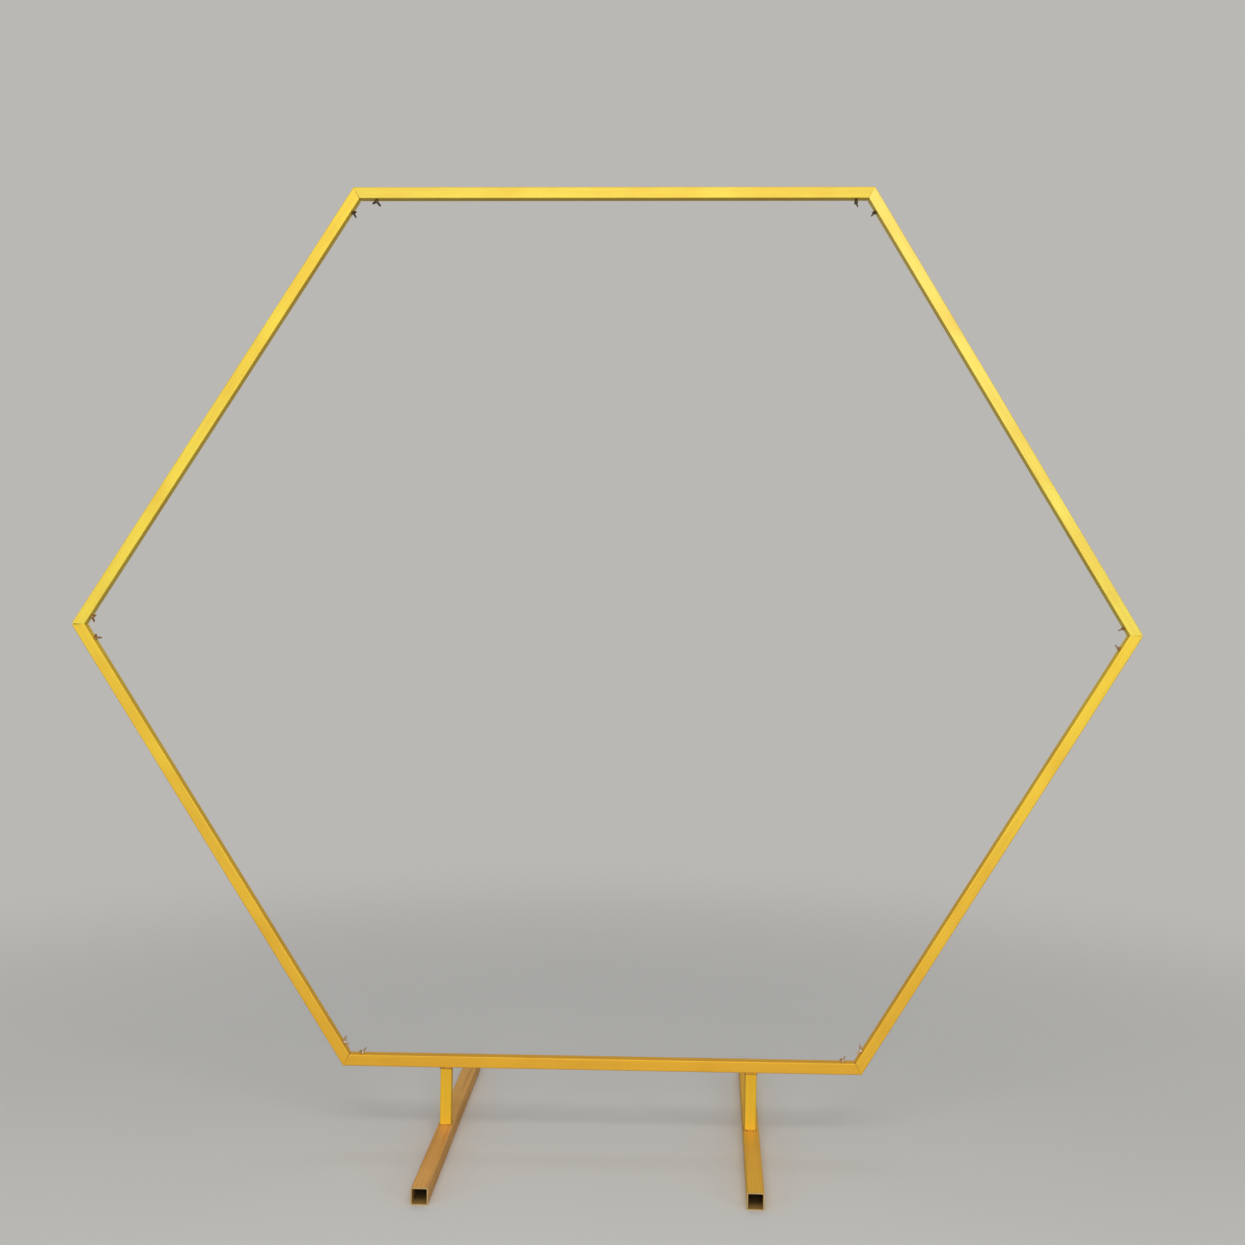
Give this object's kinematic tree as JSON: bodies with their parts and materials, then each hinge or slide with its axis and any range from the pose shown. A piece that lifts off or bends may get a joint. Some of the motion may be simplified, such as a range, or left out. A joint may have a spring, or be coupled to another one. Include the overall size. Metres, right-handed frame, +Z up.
{
  "type": "hexagonal backdrop stand",
  "caption": "Flat-topped hexagon of mitred square steel tubes joined by inner sleeves and wing screws, standing on short uprights welded to open foot tubes.",
  "frame": {"origin": "on the floor, midway between the left and right corners of the hexagon and in the middle of the feet's length", "axes": "+X to the right seen from the front, +Y away from the front, +Z up; the hexagon is parallel to the XZ plane, 65 mm in front of it"},
  "size_m": [2.3688, 0.8565, 2.123],
  "materials": {
    "gold_paint": "metallic gold gloss paint on steel tube",
    "foot_paint": "metallic gold gloss paint, a little scuffed",
    "weld_paint": "metallic gold gloss paint over lumpy weld beads",
    "screw_zinc": "dull zinc plating on cast wing screws",
    "sleeve_steel": "unpainted mill-finish steel tube"
  },
  "bodies": {
    "root": {"bottom_tube": "gold_paint", "bottom_nut_by_lower_left": "sleeve_steel", "bottom_screw_by_lower_left": "screw_zinc", "bottom_nut_by_lower_right": "sleeve_steel", "bottom_screw_by_lower_right": "screw_zinc", "lower_right_tube": "gold_paint", "lower_right_nut_by_bottom": "sleeve_steel", "lower_right_screw_by_bottom": "screw_zinc", "lower_right_nut_by_upper_right": "sleeve_steel", "lower_right_screw_by_upper_right": "screw_zinc", "upper_right_tube": "gold_paint", "upper_right_nut_by_lower_right": "sleeve_steel", "upper_right_screw_by_lower_right": "screw_zinc", "upper_right_nut_by_top": "sleeve_steel", "upper_right_screw_by_top": "screw_zinc", "top_tube": "gold_paint", "top_nut_by_upper_right": "sleeve_steel", "top_screw_by_upper_right": "screw_zinc", "top_nut_by_upper_left": "sleeve_steel", "top_screw_by_upper_left": "screw_zinc", "upper_left_tube": "gold_paint", "upper_left_nut_by_top": "sleeve_steel", "upper_left_screw_by_top": "screw_zinc", "upper_left_nut_by_lower_left": "sleeve_steel", "upper_left_screw_by_lower_left": "screw_zinc", "lower_left_tube": "gold_paint", "lower_left_nut_by_upper_left": "sleeve_steel", "lower_left_screw_by_upper_left": "screw_zinc", "lower_left_nut_by_bottom": "sleeve_steel", "lower_left_screw_by_bottom": "screw_zinc", "bottom_right_sleeve": "sleeve_steel", "right_sleeve": "sleeve_steel", "top_right_sleeve": "sleeve_steel", "top_left_sleeve": "sleeve_steel", "left_sleeve": "sleeve_steel", "bottom_left_sleeve": "sleeve_steel", "left_upright": "gold_paint", "left_foot_tube": "foot_paint", "left_foot_weld": "weld_paint", "left_top_weld": "weld_paint", "right_upright": "gold_paint", "right_foot_tube": "foot_paint", "right_foot_weld": "weld_paint", "right_top_weld": "weld_paint"}
  },
  "joints": []
}
